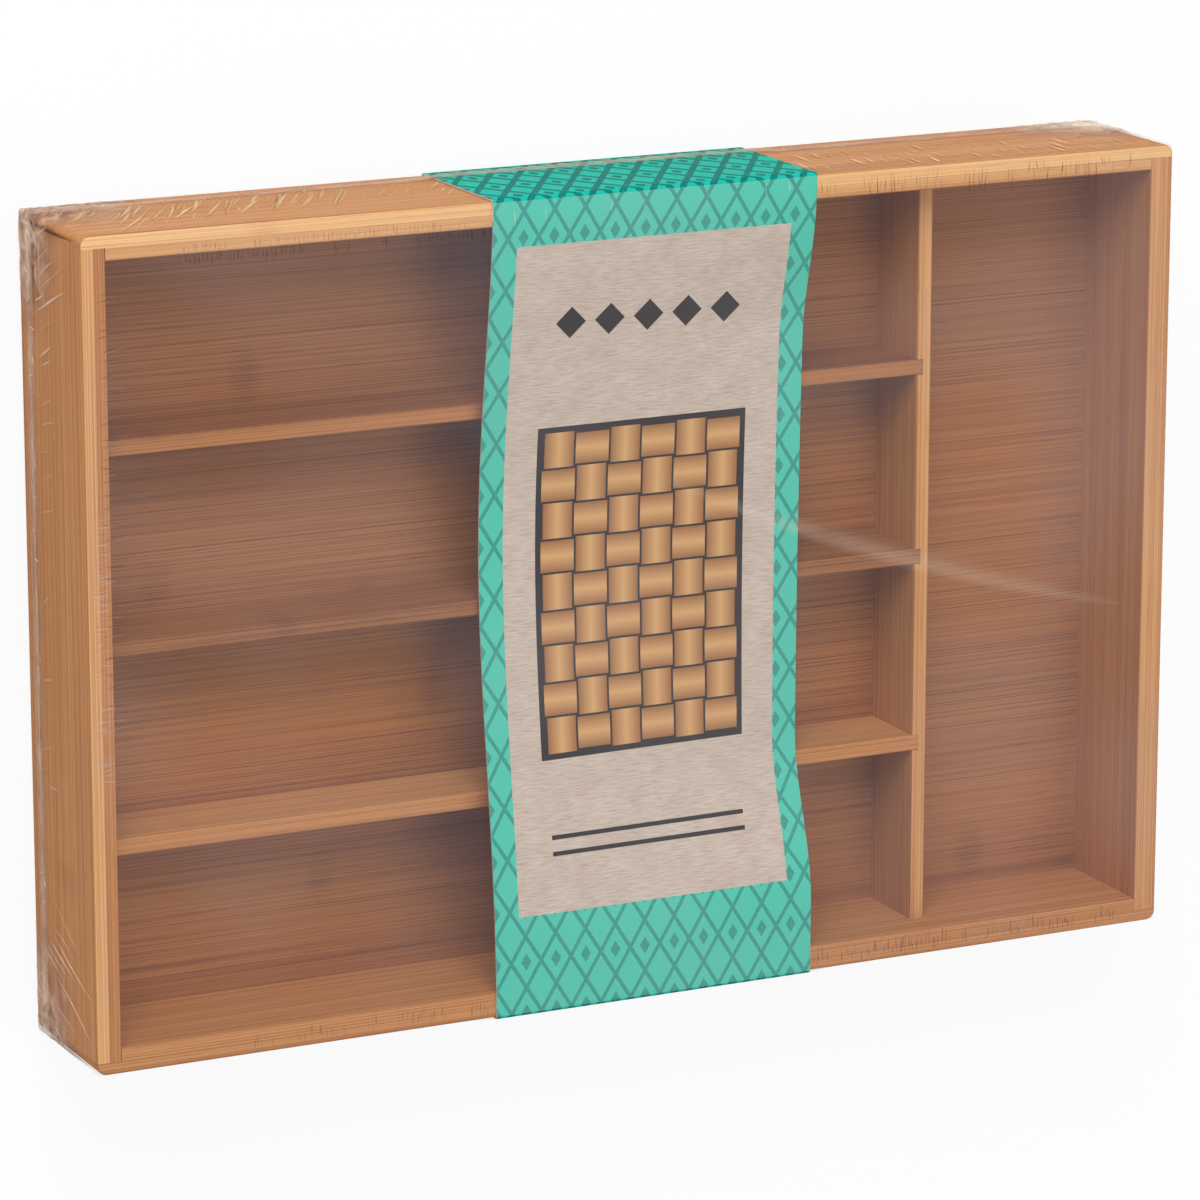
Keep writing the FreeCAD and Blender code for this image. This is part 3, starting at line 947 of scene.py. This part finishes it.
class Creases:
    """Ridges of folded film, gathered into one mesh."""

    # Across a ridge: offset, lift, milkiness with painted highlight, and painted shade, as shares of
    # the ridge's own
    SECTION = ((-1, 0, 0, 0), (-0.4, 0.8, 1, 0), (0.1, 1, 0.7, 0.5), (0.5, 0.7, 0.2, 1), (1, 0, 0, 0))
    # Sides whose two directions turn the other way round when seen from outside
    MIRRORED = ("open", "front")
    # How deep a ridge's feet sink into the sheet, its size at its ends as a share of its full size, the
    # power of the half sine that it swells by, and the distance and least numbers of its points
    SINK = 0.04 * MM
    END_SHARE = 0.15
    TAPER_POWER = 0.6
    STEP = 1.2 * MM
    LEAST_STEPS = 5
    LEAST_PLACES = 4

    def __init__(self, shape, seed):
        self.shape = shape
        self.draw = random.Random(seed)
        self.verts = []
        self.faces = []
        self.milk_and_sheen = []
        self.shade = []

    def ridge(self, side, places, width, height, milk_and_sheen, shade):
        """One ridge along places on a side, with painted light on one flank and painted shade on the
        other.
        """
        places = [Vector(place) for place in places if self.shape.holds(side, place)]
        if len(places) < self.LEAST_PLACES:
            return
        last = len(places) - 1
        start = len(self.verts)
        for index, place in enumerate(places):
            along = places[min(index + 1, last)] - places[max(index - 1, 0)]
            across = Vector((-along.y, along.x)).normalized() * width / 2
            taper = self.END_SHARE
            if 0 < index < last:
                taper = math.sin(math.pi * index / last) ** self.TAPER_POWER
            for offset, lift, white, dark in self.SECTION:
                spot = place + across * offset * taper
                rise = height * taper * lift - self.SINK
                self.verts.append(self.shape.on(side, spot.x, spot.y, rise))
                self.milk_and_sheen.append(milk_and_sheen * taper * white)
                self.shade.append(shade * taper * dark)
            if index:
                before = start + len(self.SECTION) * (index - 1)
                after = before + len(self.SECTION)
                for step in range(len(self.SECTION) - 1):
                    quad = (before + step, before + step + 1, after + step + 1, after + step)
                    self.faces.append(quad[::-1] if side in self.MIRRORED else quad)

    def bent(self, side, start, heading, length, bend, width, height, milk_and_sheen, shade, apart=False):
        """A ridge that starts at a place, runs a length along a heading and bends on the way.

        One that keeps apart is left out where it would cross another.
        """
        steps = max(int(length / self.STEP), self.LEAST_STEPS)
        places = [Vector(start)]
        for step in range(steps):
            angle = heading + bend * (step / steps - 0.5)
            places.append(places[-1] + Vector((math.cos(angle), math.sin(angle))) * length / steps)
        if not apart or self.shape.claim(side, places, width):
            self.ridge(side, places, width, height, milk_and_sheen, shade)

    def pulled(self, side, first, second, headings, lengths, widths, tries, milk_and_sheen, shade):
        """Nearly straight creases that start in a patch of a side, pull one way and keep apart."""
        draw = self.draw
        for _ in range(tries):
            start = (draw.uniform(*first), draw.uniform(*second))
            self.bent(side, start, draw.uniform(*headings), draw.uniform(*lengths),
                      draw.uniform(*CREASE_BEND), draw.uniform(*widths), draw.uniform(*CREASE_HEIGHT),
                      draw.uniform(*CREASE_MILK_AND_SHEEN) ** 2 * milk_and_sheen, draw.uniform(*CREASE_SHADE) * shade,
                      apart=True)

    def specks(self, side, first, second, tries, milk_and_sheen):
        """Small comma shaped creases scattered over a side, that keep apart."""
        draw = self.draw
        for _ in range(tries):
            start = (draw.uniform(*first), draw.uniform(*second))
            heading = draw.uniform(*SPECK_HEADING) + draw.choice((0, math.pi))
            self.bent(side, start, heading, draw.uniform(*SPECK_LENGTH), draw.uniform(*SPECK_BEND),
                      draw.uniform(*SPECK_WIDTH), draw.uniform(*CREASE_HEIGHT),
                      draw.uniform(*CREASE_MILK_AND_SHEEN) ** 2 * milk_and_sheen, 0.0, apart=True)

    def gathers(self, edge, inward, offset, first, spacing, length, width, milk_and_sheen, shade):
        """Fine ripples over the open side, square to an edge of the rim.

        edge is where the edge lies, inward the direction from it over the tray, along one axis, and
        offset the range of distances from the edge at which the ripples start.
        """
        draw = self.draw
        heading = math.atan2(inward[1], inward[0])
        at = first[0]
        while at < first[1]:
            start = (edge + inward[0] * draw.uniform(*offset), at)
            if inward[0] == 0:
                start = (at, edge + inward[1] * draw.uniform(*offset))
            self.bent("open", start, heading + draw.uniform(*RIPPLE_LEAN), draw.uniform(*length),
                      draw.uniform(*CREASE_BEND), draw.uniform(*width), draw.uniform(*RIPPLE_HEIGHT),
                      draw.uniform(*RIPPLE_MILK_AND_SHEEN) * milk_and_sheen, draw.uniform(*RIPPLE_SHADE) * shade)
            at += draw.uniform(*spacing) + (draw.random() < PAUSE_SHARE) * draw.uniform(*PAUSE)

    def object(self, name):
        """The gathered ridges as one piece of film."""
        return film_piece(name, self.verts, self.faces, self.milk_and_sheen, self.shade)


# Beads of a welded seam: offset across the seam, width and milkiness with painted highlight; the seam's
# painted shade follows
SEAM_BEADS = ((0.0, 1.1 * MM, 0.6), (1.7 * MM, 0.7 * MM, 0.4), (-1.6 * MM, 0.7 * MM, 0.35))
SEAM_SHADE = 0.12
SEAM_STEP = 1.5 * MM
SEAM_WAVER = 0.24 * MM
WAVER_KEPT_SHARE = 0.8

# Small folds across a seam
SEAM_FOLD_SHARE = 0.4
SEAM_FOLD_PLACE = (-2.5 * MM, 1.5 * MM)
SEAM_FOLD_HEADING = (0.4, 2.6)
SEAM_FOLD_LENGTH = (2 * MM, 5 * MM)
SEAM_FOLD_BEND = (-1, 1)
SEAM_FOLD_WIDTH = 0.7 * MM
SEAM_FOLD_HEIGHT = 0.3 * MM
SEAM_FOLD_MILK_AND_SHEEN = (0.3, 0.9)


def seam_run(creases, side, start, end):
    """A welded seam along a side: wavering beads, with small folds across them."""
    draw = creases.draw
    count = int((end - start) / SEAM_STEP)
    for bead, width, milk_and_sheen in SEAM_BEADS:
        places = []
        waver = 0.0
        for index in range(count + 1):
            waver = WAVER_KEPT_SHARE * waver + draw.gauss(0, SEAM_WAVER)
            places.append((start + index * SEAM_STEP, SEAM_Z + bead + waver))
        creases.ridge(side, places, width, SEAM_THICKNESS, milk_and_sheen, SEAM_SHADE)
    for _ in range(int(count * SEAM_FOLD_SHARE)):
        place = (draw.uniform(start, end), SEAM_Z + draw.uniform(*SEAM_FOLD_PLACE))
        creases.bent(side, place, draw.uniform(*SEAM_FOLD_HEADING), draw.uniform(*SEAM_FOLD_LENGTH),
                     draw.uniform(*SEAM_FOLD_BEND), SEAM_FOLD_WIDTH, SEAM_FOLD_HEIGHT,
                     draw.uniform(*SEAM_FOLD_MILK_AND_SHEEN), SEAM_SHADE, apart=True)


# Clear film: roughness, edge sheen and how much of the sheen shows
FILM_ROUGHNESS = 0.1
FILM_SHEEN = 0.12
GLOSS_SHARE = 0.15

# Milky film, partly painted highlight: how much a crease hides, its body's roughness, and the share and
# roughness of its glint
MILK_AND_SHEEN_SHARE = 0.95
MILK_ROUGHNESS = 0.4
MILK_GLOSS = 0.25
GLINT_ROUGHNESS = 0.55

# Film turns from its haze, partly painted reflection, to its crease tint between these shares of the
# veil's greatest milk
HAZE_SHARES = (1.5, 3)


def clear_film(name, wrap, tint, haze=None):
    """Shrunk polyolefin film: clear and glossy, with glossy creases of milk and painted highlight, and
    painted shade on one flank.

    tint is the colour of the light that creased film sends back, partly as painted highlight. haze is
    that of smooth film, partly painted reflection, for a piece that has some.
    """
    material, tree, surface = new_material(name)
    milk_and_sheen = add(tree, "ShaderNodeAttribute", attribute_name="milk_and_sheen")
    shade = add(tree, "ShaderNodeAttribute", attribute_name="shade")
    # Painted shade: behind a crease's far flank the film darkens what it shows towards the shade colour
    behind = add(tree, "ShaderNodeMix",
                 {0: shade.outputs["Fac"], 6: (1, 1, 1, 1), 7: opaque(wrap.shade)}, data_type="RGBA")
    clear = add(tree, "ShaderNodeBsdfTransparent", {"Color": behind.outputs[2]})
    shine = add(tree, "ShaderNodeBsdfGlossy", {"Color": opaque(tint), "Roughness": FILM_ROUGHNESS})
    grazing = add(tree, "ShaderNodeLayerWeight", {"Blend": FILM_SHEEN})
    gloss = add(tree, "ShaderNodeMath", {0: grazing.outputs["Fresnel"], 1: GLOSS_SHARE},
                operation="MULTIPLY")
    glossy = add(tree, "ShaderNodeMixShader", {0: gloss, 1: clear, 2: shine})

    sent_back = opaque(tint)
    if haze is not None:
        creased = add(tree, "ShaderNodeMapRange",
                      {"Value": milk_and_sheen.outputs["Fac"], "From Min": HAZE_SHARES[0] * VEIL[1],
                       "From Max": HAZE_SHARES[1] * VEIL[1]})
        sent_back = add(tree, "ShaderNodeMix",
                        {0: creased, 6: opaque(haze), 7: opaque(tint)},
                        data_type="RGBA").outputs[2]
    # Body of a crease: milky film and painted highlight, in the colour that it sends back
    feed(tree, surface, {"Base Color": sent_back, "Roughness": MILK_ROUGHNESS})
    glint = add(tree, "ShaderNodeBsdfGlossy", {"Color": sent_back, "Roughness": GLINT_ROUGHNESS})
    crease = add(tree, "ShaderNodeMixShader", {0: MILK_GLOSS, 1: surface, 2: glint})
    milk_and_sheen_share = add(tree, "ShaderNodeMath", {0: milk_and_sheen.outputs["Fac"], 1: MILK_AND_SHEEN_SHARE}, operation="MULTIPLY")
    film = add(tree, "ShaderNodeMixShader", {0: milk_and_sheen_share, 1: glossy, 2: crease})
    feed(tree, tree.nodes["Material Output"], {"Surface": film})
    return material


# Parts of a side that creases start in: heights, and places along the left end and the long sides
LOW_Z = (FOOT + 2 * MM, FOOT + 16 * MM)
MID_Z = (FOOT + 8 * MM, FOOT + 26 * MM)
HIGH_Z = (FOOT + 16 * MM, FOOT + 38 * MM)
SIDE_Z = (FOOT + 3 * MM, RIM - 5 * MM)
CORNER = 48 * MM
BACK_CORNER = (HALF_WIDTH - CORNER, HALF_WIDTH)
FRONT_CORNER = (-HALF_WIDTH, CORNER - HALF_WIDTH)
BETWEEN_CORNERS = (CORNER - HALF_WIDTH, HALF_WIDTH - CORNER)
LEFT_CORNER = (-HALF_LENGTH, CORNER - HALF_LENGTH)
RIGHT_CORNER = (HALF_LENGTH - CORNER, HALF_LENGTH)
LEFT_PART = (CORNER - HALF_LENGTH, SLEEVE_LEFT)
RIGHT_PART = (SLEEVE_RIGHT, HALF_LENGTH)

# Lengths and widths of creases
LONG = (15 * MM, 40 * MM)
UNEVEN = (8 * MM, 30 * MM)
DASH = (7 * MM, 16 * MM)
SHORT = (5 * MM, 14 * MM)
FINE = (0.5 * MM, 1.3 * MM)
MEDIUM = (0.7 * MM, 1.6 * MM)
GOLD = (0.9 * MM, 2.2 * MM)
SOFT = (1.2 * MM, 3.2 * MM)

# Creases of the left end: two parts of the side, headings in radians, lengths, widths, tries, milk
# with painted highlight, and painted shade
LEFT_END_CREASES = (
    (BACK_CORNER, LOW_Z, (1.02, 1.25), UNEVEN, MEDIUM, 160, 0.9, 0.15),
    (FRONT_CORNER, LOW_Z, (1.85, 2.1), LONG, FINE, 90, 0.9, 0.0),
    (FRONT_CORNER, LOW_Z, (1.85, 2.1), LONG, SOFT, 30, 0.4, 0.15),
    (BETWEEN_CORNERS, LOW_Z, (1.0, 1.5), SHORT, MEDIUM, 44, 0.4, 0.1),
)

# Creases of the long sides, the same after whether they are golden glints, whose colour is painted
# highlight
LONG_SIDE_CREASES = (
    (False, LEFT_CORNER, MID_Z, (2.0, 2.3), LONG, FINE, 24, 0.6, 0.15),
    (False, RIGHT_CORNER, LOW_Z, (1.6, 2.3), SHORT, FINE, 20, 0.5, 0.0),
    (True, LEFT_CORNER, MID_Z, (2.05, 2.25), LONG, GOLD, 300, 1.4, 0.1),
    (True, LEFT_PART, MID_Z, (2.0, 2.25), DASH, GOLD, 220, 0.8, 0.1),
    (True, RIGHT_PART, HIGH_Z, (1.58, 1.75), DASH, GOLD, 400, 1.2, 0.1),
    (False, LEFT_PART, MID_Z, (1.9, 2.3), DASH, FINE, 30, 0.3, 0.1),
    (False, RIGHT_PART, MID_Z, (1.58, 1.9), DASH, FINE, 30, 0.3, 0.1),
)
GOLD_SHARES = {"back": 1.0, "front": 0.5}

# Painted shade: dark folds of film down the two corners of the left end
CORNER_FOLD_INSET = 1.8 * MM
CORNER_FOLD_FOOT = 2 * MM
CORNER_FOLD_HEAD = 3 * MM
CORNER_FOLD_WIDTH = 3.0 * MM
CORNER_FOLD_HEIGHT = 0.1 * MM
CORNER_FOLD_SHADE = 0.8

# Specks: side, part of it, tries and milk with painted highlight
SPECKS = (
    ("left", (-HALF_WIDTH, HALF_WIDTH), 40, 0.45),
    ("back", (-HALF_LENGTH, HALF_LENGTH), 50, 0.35),
    ("front", (-HALF_LENGTH, HALF_LENGTH), 50, 0.35),
)

# A painted highlight: a light streak along a soft fold of the film over the lanes, from the sleeve to
# the right rim
STREAK_START = (1.5 * MM, 38 * MM)
STREAK_LENGTH = 178 * MM
STREAK_HEADING = -0.335
STREAK_BEND = 0.16
STREAK_WIDTH = 9 * MM
STREAK_HEIGHT = 0.05 * MM
STREAK_HIGHLIGHT = 0.13

# Ripples along the rim: distances from the edge, spacings and widths
ON_RIM = (0.6 * MM, 2.5 * MM)
PAST_RIM = (4.0 * MM, 4.8 * MM)
OFF_RIM = (6.7 * MM, 7.6 * MM)
DENSE = (1.1 * MM, 1.8 * MM)
CLOSE = (0.8 * MM, 2.0 * MM)
WIDE = (1.5 * MM, 5.0 * MM)
SPARSE = (5 * MM, 22 * MM)
HAIR = (0.35 * MM, 0.8 * MM)
RIPPLE = (0.8 * MM, 1.4 * MM)

# Parts of the rim that have ripples, the ways in over the tray from its edges, and the ripples
# themselves: edge, way, distance, part, spacing, length, width, milk with painted highlight, and
# painted shade
UPPER_LEFT = (-150 * MM, SLEEVE_LEFT)
LOWER_LEFT = (-130 * MM, SLEEVE_LEFT)
RIGHT_OF_SLEEVE = (SLEEVE_RIGHT, 165 * MM)
OVER_SLEEVE = (SLEEVE_LEFT, SLEEVE_RIGHT)
BY_LEFT_END = (-20 * MM, 110 * MM)
ON_LEFT_RIM = (-35 * MM, 45 * MM)
FROM_BACK = (0, -1)
FROM_FRONT = (0, 1)
FROM_LEFT = (1, 0)
RIPPLES = (
    (HALF_WIDTH, FROM_BACK, OFF_RIM, UPPER_LEFT, DENSE, (2.6 * MM, 4.5 * MM), RIPPLE, 0.0, 0.55),
    (HALF_WIDTH, FROM_BACK, PAST_RIM, UPPER_LEFT, DENSE, (2.4 * MM, 3.4 * MM), RIPPLE, 0.12, 0.35),
    (HALF_WIDTH, FROM_BACK, ON_RIM, RIGHT_OF_SLEEVE, CLOSE, (3 * MM, 10 * MM), HAIR, 0.04, 0.75),
    (-HALF_WIDTH, FROM_FRONT, ON_RIM, LOWER_LEFT, CLOSE, (3 * MM, 6 * MM), HAIR, 0.05, 0.5),
    (-HALF_WIDTH, FROM_FRONT, ON_RIM, RIGHT_OF_SLEEVE, CLOSE, (3 * MM, 7 * MM), HAIR, 0.06, 0.7),
    (HALF_WIDTH, FROM_BACK, ON_RIM, OVER_SLEEVE, SPARSE, (3 * MM, 7 * MM), HAIR, 0.7, 0.0),
    (-HALF_LENGTH, FROM_LEFT, PAST_RIM, BY_LEFT_END, WIDE, (4 * MM, 9 * MM), RIPPLE, 0.1, 0.5),
    (-HALF_LENGTH, FROM_LEFT, ON_RIM, ON_LEFT_RIM, CLOSE, (3 * MM, 7 * MM), RIPPLE, 0.3, 0.2),
)

# Broad folds that lean back over the left part of the back side, with painted golden highlights and
# painted shade
FAN_COUNT = 34
FAN_FIRST = 6 * MM
FAN_PITCH = 2.9 * MM
FAN_FOOT = (6 * MM, 16 * MM)
FAN_HEADING = (2.0, 2.2)
FAN_LENGTH = (18 * MM, 36 * MM)
FAN_WIDTH = (1.2 * MM, 2.8 * MM)
FAN_HIGHLIGHT = (0.2, 0.7)
FAN_SHADE = (0.1, 0.35)


def crease_film(folds, glints):
    """Crease the film on its sides, gather it along the rim and fan it over the back side."""
    for row in LEFT_END_CREASES:
        folds.pulled("left", *row)
    for side, gold_share in GOLD_SHARES.items():
        for golden, *size, milk_and_sheen, shade in LONG_SIDE_CREASES:
            creases = glints if golden else folds
            creases.pulled(side, *size, milk_and_sheen * gold_share if golden else milk_and_sheen, shade)
    # Painted shade down the two corners of the left end
    for inset in (HALF_WIDTH - CORNER_FOLD_INSET, CORNER_FOLD_INSET - HALF_WIDTH):
        length = RIM - FOOT - CORNER_FOLD_FOOT - CORNER_FOLD_HEAD
        folds.bent("left", (inset, FOOT + CORNER_FOLD_FOOT), math.pi / 2, length, 0.0,
                   CORNER_FOLD_WIDTH, CORNER_FOLD_HEIGHT, 0.0, CORNER_FOLD_SHADE)
    for side, part, tries, milk_and_sheen in SPECKS:
        folds.specks(side, part, SIDE_Z, tries, milk_and_sheen)
    # Painted highlight: a light streak along a soft fold over the lanes
    folds.bent("open", STREAK_START, STREAK_HEADING, STREAK_LENGTH, STREAK_BEND, STREAK_WIDTH,
               STREAK_HEIGHT, STREAK_HIGHLIGHT, 0.0)
    for row in RIPPLES:
        folds.gathers(*row)
    # Broad folds with painted golden highlights and painted shade over the back side's left part
    draw = glints.draw
    for index in range(FAN_COUNT):
        start = (FAN_FIRST + index * FAN_PITCH - HALF_LENGTH, FOOT + draw.uniform(*FAN_FOOT))
        glints.bent("back", start, draw.uniform(*FAN_HEADING), draw.uniform(*FAN_LENGTH),
                    draw.uniform(*CREASE_BEND), draw.uniform(*FAN_WIDTH), draw.uniform(*CREASE_HEIGHT),
                    draw.uniform(*FAN_HIGHLIGHT), draw.uniform(*FAN_SHADE))


class TRAY_OT_wrap_film(bpy.types.Operator):
    """Wrap the tray and its sleeve in shrunk film"""

    bl_idname = "tray.wrap_film"
    bl_label = "Wrap Film"

    def execute(self, context):
        wrap = context.scene.tray_film
        shape = FilmShape(wrap)
        sheet = film_sheet(shape)
        seams, folds, glints = (Creases(shape, wrap.seed + number) for number in range(3))
        seam_run(seams, "left", -HALF_WIDTH, HALF_WIDTH)
        seam_run(seams, "back", -HALF_LENGTH, HALF_LENGTH)
        crease_film(folds, glints)

        seam_piece = seams.object("film_seams")
        # Creases carry milk with painted highlight and painted shade; glints are painted golden
        # highlights
        creased = clear_film("creased_film", wrap, wrap.tint)
        finishes = {
            sheet: clear_film("shrink_film", wrap, wrap.tint, wrap.haze),
            seam_piece: creased,
            folds.object("film_folds"): creased,
            glints.object("film_glints"): clear_film("painted_glint_film", wrap, wrap.glint),
        }
        for piece, material in finishes.items():
            piece.data.materials.append(material)
            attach(piece, "film")
        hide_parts("film_over_lanes", "film_under_base", "film_front_side", "film_back_side",
                    "film_left_end")
        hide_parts("film_left_seam", "film_back_seam")
        return {"FINISHED"}


# Floor: its width, the roughness of its paper, and the share of the lit paper in what the camera sees
FLOOR_SIZE = 8.0
PAPER_ROUGHNESS = 0.9
SHADOW_SHARE = 0.1

# Place of each lamp and its size
KEY_LAMP = ((-0.55, 1.35, 1.25), 1.2)
FILL_LAMP = ((0.5, -0.3, 2.1), 1.4)
SIDE_LAMP = ((-1.6, -0.2, 0.7), 0.8)


def floor_material(colour):
    """Pale studio paper: white to the camera, with a soft shadow left on it."""
    material, tree, surface = new_material("studio_paper")
    feed(tree, surface, {"Base Color": opaque(colour), "Roughness": PAPER_ROUGHNESS})
    path = add(tree, "ShaderNodeLightPath")
    seen = path.outputs["Is Camera Ray"]
    for way in ("Is Glossy Ray", "Is Transmission Ray"):
        seen = add(tree, "ShaderNodeMath", {0: seen, 1: path.outputs[way]}, operation="MAXIMUM")
    share = add(tree, "ShaderNodeMath", {0: seen, 1: 1 - SHADOW_SHARE}, operation="MULTIPLY")
    white = add(tree, "ShaderNodeEmission", {"Color": (1, 1, 1, 1), "Strength": 1.0})
    mixed = add(tree, "ShaderNodeMixShader", {0: share, 1: surface, 2: white})
    feed(tree, tree.nodes["Material Output"], {"Surface": mixed})
    return material


def lamp(name, place, size, power):
    """A soft square lamp that points at the tray's middle."""
    data = bpy.data.lights.new(name, "AREA")
    data.size = size
    data.energy = power
    made = bpy.data.objects.new(name, data)
    made.location = place
    aim = Vector((0, 0, RIM / 2))
    made.rotation_euler = (aim - Vector(place)).to_track_quat("-Z", "Y").to_euler()
    bpy.context.scene.collection.objects.link(made)


class TRAY_OT_set_stage(bpy.types.Operator):
    """Put up the floor, the lamps and the camera"""

    bl_idname = "tray.set_stage"
    bl_label = "Set Stage"

    def execute(self, context):
        scene = context.scene
        stage = scene.tray_stage
        half = FLOOR_SIZE / 2
        level = cad_box[0].z - stage.floor_drop
        corners = [(x * half, y * half, level) for x, y in ((-1, -1), (1, -1), (1, 1), (-1, 1))]
        floor = mesh_object("floor", corners, [(0, 1, 2, 3)])
        floor.data.materials.append(floor_material(stage.floor))

        lamp("key_lamp", *KEY_LAMP, stage.key_power)
        lamp("fill_lamp", *FILL_LAMP, stage.fill_power)
        lamp("side_lamp", *SIDE_LAMP, stage.side_power)
        world = bpy.data.worlds.new("studio")
        world.use_nodes = True
        world.node_tree.nodes["Background"].inputs["Color"].default_value = opaque(stage.world)
        scene.world = world

        lens = bpy.data.cameras.new("camera")
        lens.lens = stage.focal_length
        camera = bpy.data.objects.new("camera", lens)
        scene.collection.objects.link(camera)
        place = Vector(stage.camera_place)
        ahead = (Vector(stage.camera_aim) - place).normalized()
        right = ahead.cross(Vector((0, 1, 0))).normalized()
        up = right.cross(ahead)
        turn = Matrix((right, up, -ahead)).transposed()
        camera.matrix_world = Matrix.Translation(place) @ turn.to_4x4()
        scene.camera = camera
        scene.view_settings.view_transform = "Standard"
        return {"FINISHED"}


class TRAY_PT_sidebar(bpy.types.Panel):
    """Lists the steps that dress the tray"""

    bl_idname = "TRAY_PT_sidebar"
    bl_label = "Cutlery Tray"
    bl_space_type = "VIEW_3D"
    bl_region_type = "UI"
    bl_category = "Tray"

    def draw(self, context):
        for operator in OPERATORS:
            self.layout.operator(operator.bl_idname)


OPERATORS = (TRAY_OT_finish_boards, TRAY_OT_fold_sleeve, TRAY_OT_wrap_film, TRAY_OT_set_stage)
SETTINGS = {
    "tray_bamboo": BambooFinish,
    "tray_sleeve": SleevePrint,
    "tray_film": FilmWrap,
    "tray_stage": StudioStage,
}


def register():
    """Make the settings, the operators and the panel known."""
    for group in SETTINGS.values():
        bpy.utils.register_class(group)
    for operator in OPERATORS:
        bpy.utils.register_class(operator)
    bpy.utils.register_class(TRAY_PT_sidebar)
    for name, group in SETTINGS.items():
        setattr(bpy.types.Scene, name, PointerProperty(type=group))


def unregister():
    """Take back what register made known."""
    for name in SETTINGS:
        delattr(bpy.types.Scene, name)
    bpy.utils.unregister_class(TRAY_PT_sidebar)
    for operator in reversed(OPERATORS):
        bpy.utils.unregister_class(operator)
    for group in reversed(SETTINGS.values()):
        bpy.utils.unregister_class(group)


def main():
    """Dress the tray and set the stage."""
    register()
    bpy.ops.tray.finish_boards()
    bpy.ops.tray.fold_sleeve()
    bpy.ops.tray.wrap_film()
    bpy.ops.tray.set_stage()


if __name__ == "__main__":
    main()
